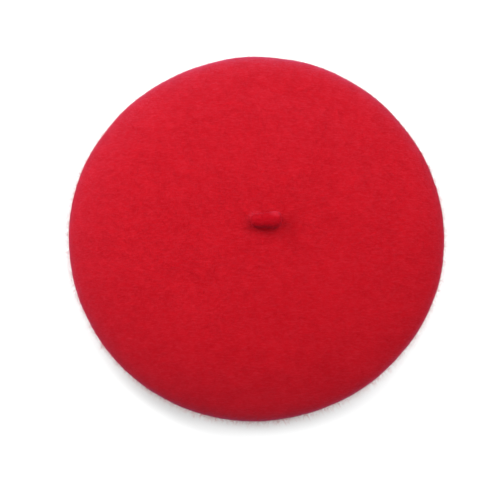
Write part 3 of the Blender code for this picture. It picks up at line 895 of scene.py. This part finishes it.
def stitch_row(name, replaced, material, radius, z, facing, pitch, length, width, tilt,
               start=0.0, stop=360.0):
    """Stitches round the opening; facing is their (outward, up) direction."""
    count = int(round(math.radians(stop - start) * radius / pitch))
    rng = np.random.RandomState(77)
    parts = []
    for i in range(count):
        degrees = start + (stop - start) * (i + 0.5) / count
        a = math.radians(degrees)
        out = radial(a) * facing[0] + UP * facing[1]
        turn = tilt + rng.uniform(-0.05, 0.05)
        along = tangent(a) * math.cos(turn) + np.cross(out, tangent(a)) * math.sin(turn)
        parts.append(stitch(polar(degrees, radius, z), along, out, length, width,
                            height=0.18 * MM))
    add_piece(name, join_parts(parts), (material,), "crown", (replaced,),
              recalculate=True)


# ---------------------------------------------------------------------- cords
def stopper_knot(centre, along, out):
    """Two crossed turns of cord."""
    phi = circle(28)
    parts = []
    for tilt, shift in ((0.5, -0.35), (-0.55, 0.40)):
        up = UP * math.cos(tilt) + along * math.sin(tilt)
        ring = centre + along * shift * MM + 0.46 * MM * (
            np.cos(phi)[:, None] * out + np.sin(phi)[:, None] * up)
        parts.append(tube(ring, 0.44 * MM, closed=True))
    return parts


def build_cord(name, replaced, body, side, ring_r, tail_r):
    """Three-strand cord with a stopper knot and a short brush of loose ends.

    It runs round one side (+1 is +X) from the front to the back, rises and crosses over.
    """
    front, rise_start, rise_end, tail_end, knot = 177.0, 9.6, 3.6, -13.2, -13.8  # degrees
    ring_z, tail_z = 2.35 * MM, 6.7 * MM
    run = polar(side * np.linspace(front, rise_start, 420), ring_r, ring_z)
    f = np.linspace(0, 1, 26)[1:]
    s = smooth(0, 1, f)
    rise = polar(side * (rise_start + (rise_end - rise_start) * f),
                 ring_r + (tail_r - ring_r) * s, ring_z + (tail_z - ring_z) * s)
    tail = polar(side * np.linspace(rise_end, tail_end, 46)[1:], tail_r, tail_z)
    path = np.vstack([run, rise, tail])
    steps = np.linalg.norm(np.diff(path, axis=0), axis=1)
    length = np.concatenate([[0], np.cumsum(steps)])

    def strands(i, phi):
        return 0.86 + 0.14 * np.abs(np.cos(1.5 * (phi - TAU * length[i] / (5.5 * MM))))

    radius = np.full(len(path), 0.70 * MM)
    radius[:4] *= np.array([0.3, 0.7, 0.9, 1.0])
    centre = polar(side * knot, tail_r, tail_z)
    knot_angle = math.radians(side * knot)
    along = tangent(knot_angle)
    parts = [tube(path, radius, 15, section=strands)]
    parts += stopper_knot(centre, along, radial(knot_angle))
    rng = np.random.RandomState(5 + side)
    for _ in range(14):
        root = centre + along * 0.7 * MM * (-side) + rng.uniform(-0.25, 0.25, 3) * MM
        lean = along * (-side) + rng.uniform(-0.35, 0.35, 3)
        reach = lean * rng.uniform(1.2, 2.0) * MM
        strand = root + reach * np.linspace(0, 1, 5)[:, None]
        parts.append(tube(strand + rng.uniform(-0.05, 0.05, (5, 3)) * MM, 0.07 * MM, 5))
    add_piece(name, join_parts(parts), (CORD,), body, (replaced,), recalculate=True)


# ------------------------------------------------------------------------ bow
def on_band(s, out, z):
    """A point s along the band towards +X and out towards the middle of the opening."""
    return radial(s / BOW_R) * (BOW_R - out) + UP * z


def bow_loop(side):
    """Out along the band and back again, a flat teardrop seen from above."""
    steps = 34
    points, widths, normals = [], [], []
    for i in range(steps + 1):
        u = i / steps * math.pi
        bulge = math.sin(u)
        s = side * (1.2 + 12.6 * bulge ** 0.85) * MM
        out = (1.15 - 0.95 * math.cos(u)) * MM + 0.25 * MM * bulge
        points.append(on_band(s, out, BOW_Z + side * 0.3 * MM * bulge))
        widths.append((4.0 + 6.2 * bulge ** 0.8) * MM)
        a = s / BOW_R
        normals.append(radial(a) * math.cos(u) + side * tangent(a) * bulge)
    return ribbon(points, widths, normals, cup=0.25 * MM)


def bow_tail(side):
    """A falling tail with a swallow-tail cut."""
    steps, across = 16, 8
    points, widths, normals = [], [], []
    for i in range(steps + 1):
        f = i / steps
        s = side * (0.8 + 9.5 * f) * MM
        out = (0.45 + 0.35 * math.sin(math.pi * f)) * MM
        points.append(on_band(s, out, BOW_Z - (0.5 + 8.0 * f ** 1.1) * MM))
        widths.append((3.2 + 3.2 * smooth(0, 0.6, f)) * MM)
        normals.append(-radial(s / BOW_R))
    verts, faces = ribbon(points, widths, normals, across=across)
    around = 2 * (across + 1)
    rows = verts[:(steps + 1) * around].reshape(steps + 1, around, 3)
    s = np.linspace(-1, 1, across + 1)
    middle = 1 - np.abs(np.concatenate([s, s[::-1]]))
    last_step = rows[-1] - rows[-2]
    # the middle of the last three rows is drawn back by this many steps
    for row, depth in ((-1, 3.04), (-2, 2.28), (-3, 1.425)):
        rows[row] -= last_step * (middle * depth)[:, None]
    verts[:(steps + 1) * around] = rows.reshape(-1, 3)
    return verts, faces


def bow_middle():
    """A snug closed loop of ribbon round the middle."""
    spans = np.linspace(-1, 1, 5)
    section = [(s, RIBBON_T) for s in spans] + [(s, 0.0) for s in spans[::-1]]
    rows = []
    for u in circle(24):
        centre = on_band(0.0, (1.05 + 1.25 * math.cos(u)) * MM, BOW_Z + 2.75 * MM * math.sin(u))
        out = np.array([0.0, -math.cos(u), math.sin(u) * 0.9])
        out /= np.linalg.norm(out)
        half_width = 2.1 * MM * (1.0 + 0.06 * math.cos(3 * u))
        rows.append([centre + np.array([half_width * s, 0, 0])
                     + out * (lift + 0.18 * MM * (1 - s * s)) for s, lift in section])
    return sweep(rows, closed=True)


def build_bow():
    """Two loops, two tails and a wrapped middle, on the band's inner face at the back."""
    parts = [make(side) for side in (-1, 1) for make in (bow_loop, bow_tail)]
    add_piece("ribbon_bow", join_parts(parts + [bow_middle()]), (RIBBON,), "crown",
              ("back_bow",), sharp=55, recalculate=True)


# --------------------------------------------------------------------- lining
LINING_AROUND = 300
LINING_THETA = circle(LINING_AROUND)
LINING_GAP = 3.75 * MM          # from the felt's outer face
LINING_T = 0.40 * MM


def lining_profile():
    profile = dense_profile()
    normals = profile_normals(profile, 3)
    normals[0] = (0, 1)
    inset = profile - normals * LINING_GAP
    inset[:, 0] = np.maximum(inset[:, 0], 0.0)
    return inset


def pleats(shift=0.0):
    theta = LINING_THETA
    return 0.5 + 0.5 * np.sin(46 * theta + 3 * np.sin(5 * theta) + shift)


def satin_rings(points, normals, slack):
    """Rings of both faces of a panel, drawn inwards by slack(base, r)."""
    outer, inner = [], []
    for point, normal in zip(points, normals):
        base, out = spun(point, LINING_THETA), spun(normal, LINING_THETA)
        ring = blocked(base) - out * slack(base, point[0])[:, None]
        outer.append(ring)
        inner.append(ring - out * LINING_T)
    return np.array(outer + inner[::-1])


def build_lining_top(profile):
    top = resample(profile, 96)

    def slack(base, r):
        pleat = smooth(60 * MM, 128 * MM, r) * 0.55 * MM * pleats()
        loose = (0.9 * MM * (0.5 + 0.5 * value_noise(base, 0.034, seed=31))
                 + 0.35 * MM * (0.5 + 0.5 * value_noise(base, 0.015, seed=32)))
        return pleat + loose * (1 - smooth(120 * MM, 131 * MM, r))

    rings = satin_rings(top[1:], profile_normals(top)[1:], slack)
    pole_z = top[0, 1] - 0.7 * MM
    verts = np.vstack([rings.reshape(-1, 3), [[0, 0, pole_z], [0, 0, pole_z - LINING_T]]])
    add_piece("lining_disc", outward((verts, capped_faces(len(rings), LINING_AROUND))),
              (SATIN,), "crown", ("lining_top",))


def build_lining_under(profile):
    # (r, z) in mm: from the underside up behind the sweatband
    turn_up = np.array([(101.0, 7.3), (99.2, 8.1), (97.4, 9.0), (96.3, 10.6), (95.9, 12.2)]) * MM
    under = resample(np.vstack([profile[profile[:, 0] > 103 * MM], turn_up]), 40)
    rings = satin_rings(under, profile_normals(under),
                        lambda base, r: 0.40 * MM * pleats(shift=1.0))
    add_piece("lining_ring", outward(sweep(rings, closed=True)), (SATIN,), "crown",
              ("lining_under",))


def build_lining_seam(r, z):
    """Slanted overcast stitches between the two panels."""
    count = 240
    parts = []
    for i in range(count):
        a = TAU * (i + 0.5) / count
        centre = blocked(spun((r - 0.2 * MM, z), np.array([a])))[0]
        out = np.array([math.cos(a), math.sin(a), 0.0])
        along = np.array([-math.sin(a), math.cos(a), 0.0]) * 0.55 + UP * 0.83
        parts.append(stitch(centre, along, out, length=2.1 * MM, width=0.34 * MM,
                            height=0.15 * MM, steps=6, around=6))
    add_piece("lining_seam_stitches", join_parts(parts), (THREAD,), "crown",
              ("lining_seam",), recalculate=True)


def build_lining():
    """Two satin panels with a slack, slightly puckered surface, and their seam."""
    profile = lining_profile()
    widest = int(np.argmax(profile[:, 0]))
    margin = 12                 # profile points left free on each side of the seam
    build_lining_top(profile[:widest - margin])
    build_lining_under(profile[widest + margin:])
    build_lining_seam(*profile[widest])


def build_anchor():
    """The stalk's root is caught down inside the crown by a star of thread."""
    count, skip = 9, 4
    radius, sag = 3.2 * MM, 0.18 * MM
    z = CROWN_H - FELT_T - 0.42 * MM
    corners = [np.array([radius * math.cos(a), PIVOT.y + radius * math.sin(a), z])
               for a in circle(count)]
    t = np.linspace(0, 1, 9)[:, None]
    parts = []
    for i, start in enumerate(corners):
        end = corners[(i + skip) % count]
        drop = UP * sag * (4 * t * (1 - t)) * (0.5 + 0.5 * (i % 3) / 2)
        parts.append(tube(start + (end - start) * t - drop, 0.16 * MM, 6))
    add_piece("root_tack", join_parts(parts), (THREAD,), "crown",
              ("stem_anchor_stitch",), recalculate=True)


# --------------------------------------------------------------------- labels
def build_label(name, replaced, body, degrees, width, length, layers, phase):
    """A satin tab sewn at its lower edge; two layers are joined by a fold at the top."""
    joint = {j["child"]: j for j in JOINTS}[body]
    origin = np.array(joint["pos_m"], float)
    inward, across = -radial(math.radians(degrees)), tangent(math.radians(degrees))
    steps = 26
    thick = 0.16 * MM
    spans = [-1 + 2 * k / steps for k in range(steps + 1)]

    def surface(u, v, layer):
        """u across from -1 to 1, v from the sewn edge to the free edge."""
        off = -0.10 * MM + 2.0 * MM * v ** 1.6 + 0.42 * MM * layer * (0.3 + 0.7 * v)
        off += (0.35 * MM * v * math.sin(2.2 * u + phase)
                + 0.20 * MM * v * v * math.sin(5.1 * u + 2.0 * phase)) * (1 - 0.3 * layer)
        off += -0.30 * MM * u * u * (1 - v)
        return (origin + across * (u * width / 2) + inward * off
                + UP * (0.25 * MM + v * length))

    parts = []
    for layer in range(layers):
        rows = []
        for i in range(steps + 1):
            line = np.array([surface(u, i / steps, layer) for u in spans])
            rows.append(np.vstack([line + inward * thick / 2, line[::-1] - inward * thick / 2]))
        parts.append(sweep(rows))
    if layers == 2:
        rows = []
        for u in spans:
            first, second = surface(u, 1.0, 0), surface(u, 1.0, 1)
            centre, radius = (first + second) / 2, np.linalg.norm(second - first) / 2
            row = []
            for bend, order in ((radius + thick / 2, range(9)),
                                (radius - thick / 2, range(8, -1, -1))):
                for k in order:
                    w = math.pi * k / 8
                    row.append(centre - inward * math.cos(w) * bend + UP * math.sin(w) * bend)
            rows.append(row)
        parts.append(sweep(rows))
    else:
        # hot-cut side edges are slightly thicker
        for u in (-1, 1):
            parts.append(tube([surface(u, i / 20, 0) for i in range(21)], 0.13 * MM, 6))
    add_piece(name, join_parts(parts), (LABEL,), body, (replaced,),
              sharp=55, recalculate=True)

    # bar tack: close zigzag of thread under the sewn edge, following the band's curve
    count = int(width / (0.42 * MM))
    points = []
    for i in range(count):
        s = (i / (count - 1) - 0.5) * (width - 1.6 * MM)
        points.append(origin + across * s + inward * (-1.25 * MM + s * s / (2 * BAND_R))
                      + UP * (-1.2 * MM + 0.32 * MM * (-1) ** i))
    add_piece(name + "_tack", tube(points, 0.13 * MM, 6), (THREAD,), "crown",
              (replaced + "_stitch",), recalculate=True)


# ----------------------------------------------------------------- the studio
def floor_material():
    mat = bpy.data.materials.new("floor_paper")
    mat.use_nodes = True
    tree = mat.node_tree
    tree.nodes.clear()
    add = tree.nodes.new
    output = add("ShaderNodeOutputMaterial")
    paper = add("ShaderNodeBsdfDiffuse")
    # white to the eye, but the light it throws back up is held down
    path = add("ShaderNodeLightPath")
    tone = add("ShaderNodeMix")
    tone.data_type = "RGBA"
    tone.inputs["A"].default_value = (0.27, 0.28, 0.29, 1)
    tone.inputs["B"].default_value = (0.955, 0.975, 0.975, 1)
    clear = add("ShaderNodeBsdfTransparent")
    geometry = add("ShaderNodeNewGeometry")
    two_sided = add("ShaderNodeMixShader")
    # far from the object the paper fades into the white backdrop, for the eye only
    distance = add("ShaderNodeVectorMath")
    distance.operation = "LENGTH"
    fade = add("ShaderNodeMapRange")
    fade.interpolation_type = "SMOOTHSTEP"
    fade.inputs["From Min"].default_value = 0.32
    fade.inputs["From Max"].default_value = 1.10
    eye = add("ShaderNodeMath")
    eye.operation = "MULTIPLY"
    glow = add("ShaderNodeEmission")
    backdrop = add("ShaderNodeMixShader")
    for source, target in (
        (path.outputs["Is Camera Ray"], tone.inputs["Factor"]),
        (tone.outputs["Result"], paper.inputs["Color"]),
        (geometry.outputs["Position"], distance.inputs[0]),
        (distance.outputs["Value"], fade.inputs["Value"]),
        (fade.outputs["Result"], eye.inputs[0]),
        (path.outputs["Is Camera Ray"], eye.inputs[1]),
        (eye.outputs[0], backdrop.inputs[0]),
        (paper.outputs[0], backdrop.inputs[1]),
        (glow.outputs[0], backdrop.inputs[2]),
        (geometry.outputs["Backfacing"], two_sided.inputs[0]),
        (backdrop.outputs[0], two_sided.inputs[1]),
        (clear.outputs[0], two_sided.inputs[2]),
        (two_sided.outputs[0], output.inputs[0]),
    ):
        tree.links.new(source, target)
    return mat


def build_floor():
    me = bpy.data.meshes.new("floor")
    half = 6.0
    me.from_pydata([(-half, -half, 0), (half, -half, 0), (half, half, 0), (-half, half, 0)],
                   [], [(0, 1, 2, 3)])
    ob = add_object("floor", me)
    me.materials.append(floor_material())
    ob.location.z = -0.0002


def aim(ob, direction):
    ob.rotation_euler = direction.to_track_quat("-Z", "Y").to_euler()


def add_sun(name, azimuth, elevation, strength):
    """A broad far light; azimuth from +X towards +Y, in degrees."""
    light = bpy.data.lights.new(name, "SUN")
    light.energy = strength
    light.angle = math.radians(50.0)
    a, e = math.radians(azimuth), math.radians(elevation)
    towards = Vector((math.cos(e) * math.cos(a), math.cos(e) * math.sin(a), math.sin(e)))
    aim(add_object(name, light), -towards)


def add_lamp(name, place, size, power):
    """A round diffused lamp that faces the object."""
    light = bpy.data.lights.new(name, "AREA")
    light.shape = "DISK"
    light.size = size
    light.energy = power
    ob = add_object(name, light)
    ob.location = place
    aim(ob, Vector((0, 0, 0.02)) - Vector(place))


SUNS = (                        # azimuth, elevation, strength
    (0, 60, 0.40),
    (222, 60, 0.66),
    (0, 42, 1.42),
)
LAMPS = (                       # place, size, power
    ((0.35, 0.35, 0.55), 0.5, 2.8),
    ((-0.6, 0.6, 0.5), 0.6, 8.2),
    ((-0.9, 0.0, 0.6), 0.6, 6.5),
    ((0.5, 0.0, 0.6), 0.5, 1.4),
)


def build_world():
    """A white backdrop, bright to the eye, that gives little light."""
    world = bpy.data.worlds.new("studio")
    bpy.context.scene.world = world
    world.use_nodes = True
    tree = world.node_tree
    background = tree.nodes["Background"]
    background.inputs[0].default_value = (1, 1, 1, 1)
    given, seen = 0.03, 0.97    # strength as light, and what is added for the eye
    path = tree.nodes.new("ShaderNodeLightPath")
    level = tree.nodes.new("ShaderNodeMath")
    level.operation = "MULTIPLY_ADD"
    level.inputs[1].default_value = seen
    level.inputs[2].default_value = given
    tree.links.new(path.outputs["Is Camera Ray"], level.inputs[0])
    tree.links.new(level.outputs[0], background.inputs[1])


def build_camera():
    """Looks down steeply from the front."""
    elevation, distance = math.radians(77.07), 0.85
    x, y, z = -0.0039, -0.0137, 0.022  # the point it looks at
    camera = bpy.data.cameras.new("camera")
    camera.sensor_width = 36.0
    camera.lens = 83.5416
    ob = add_object("camera", camera)
    ob.location = (x, y - distance * math.cos(elevation), z + distance * math.sin(elevation))
    ob.rotation_euler = (math.pi / 2 - elevation, 0, 0)
    scene = bpy.context.scene
    scene.camera = ob
    scene.view_settings.view_transform = "Standard"
    scene.view_settings.look = "None"


# ------------------------------------------------------------------- assembly
shell = build_shell()
stalk = build_stalk()
build_sweatband()
build_binding()
stitch_row("band_stitches", "sweatband_stitching", THREAD_DARK, radius=BAND_R - 0.08 * MM,
           z=2.6 * MM, facing=(-1.0, 0.0), pitch=3.3 * MM, length=2.6 * MM, width=0.42 * MM,
           tilt=0.06, start=1.5, stop=358.5)
stitch_row("tape_stitches", "binding_stitching", THREAD, radius=98.0 * MM,
           z=0.33 * MM, facing=(0.28, -0.96), pitch=3.0 * MM, length=2.3 * MM, width=0.38 * MM,
           tilt=0.08)
build_cord("cord_left_braid", "drawcord_left", "cord_left", side=-1,
           ring_r=92.2 * MM, tail_r=92.7 * MM)
build_cord("cord_right_braid", "drawcord_right", "cord_right", side=1,
           ring_r=91.0 * MM, tail_r=90.4 * MM)
build_bow()
build_lining()
build_anchor()
build_label("size_tab_satin", "size_label", "size_tab", degrees=42.0,
            width=18.0 * MM, length=13.0 * MM, layers=2, phase=0.7)
build_label("care_tab_satin", "care_label", "care_tab", degrees=-62.0,
            width=26.0 * MM, length=21.0 * MM, layers=1, phase=2.1)
add_fuzz(shell, count=110000, length=1.10 * MM, seed=3, group="outside")
add_fuzz(stalk, count=1000, length=0.7 * MM, seed=4)

build_floor()
for number, (azimuth, elevation, strength) in enumerate(SUNS):
    add_sun("bank_%d" % number, azimuth, elevation, strength)
for number, (place, size, power) in enumerate(LAMPS):
    add_lamp("lamp_%d" % number, place, size, power)
build_world()
build_camera()
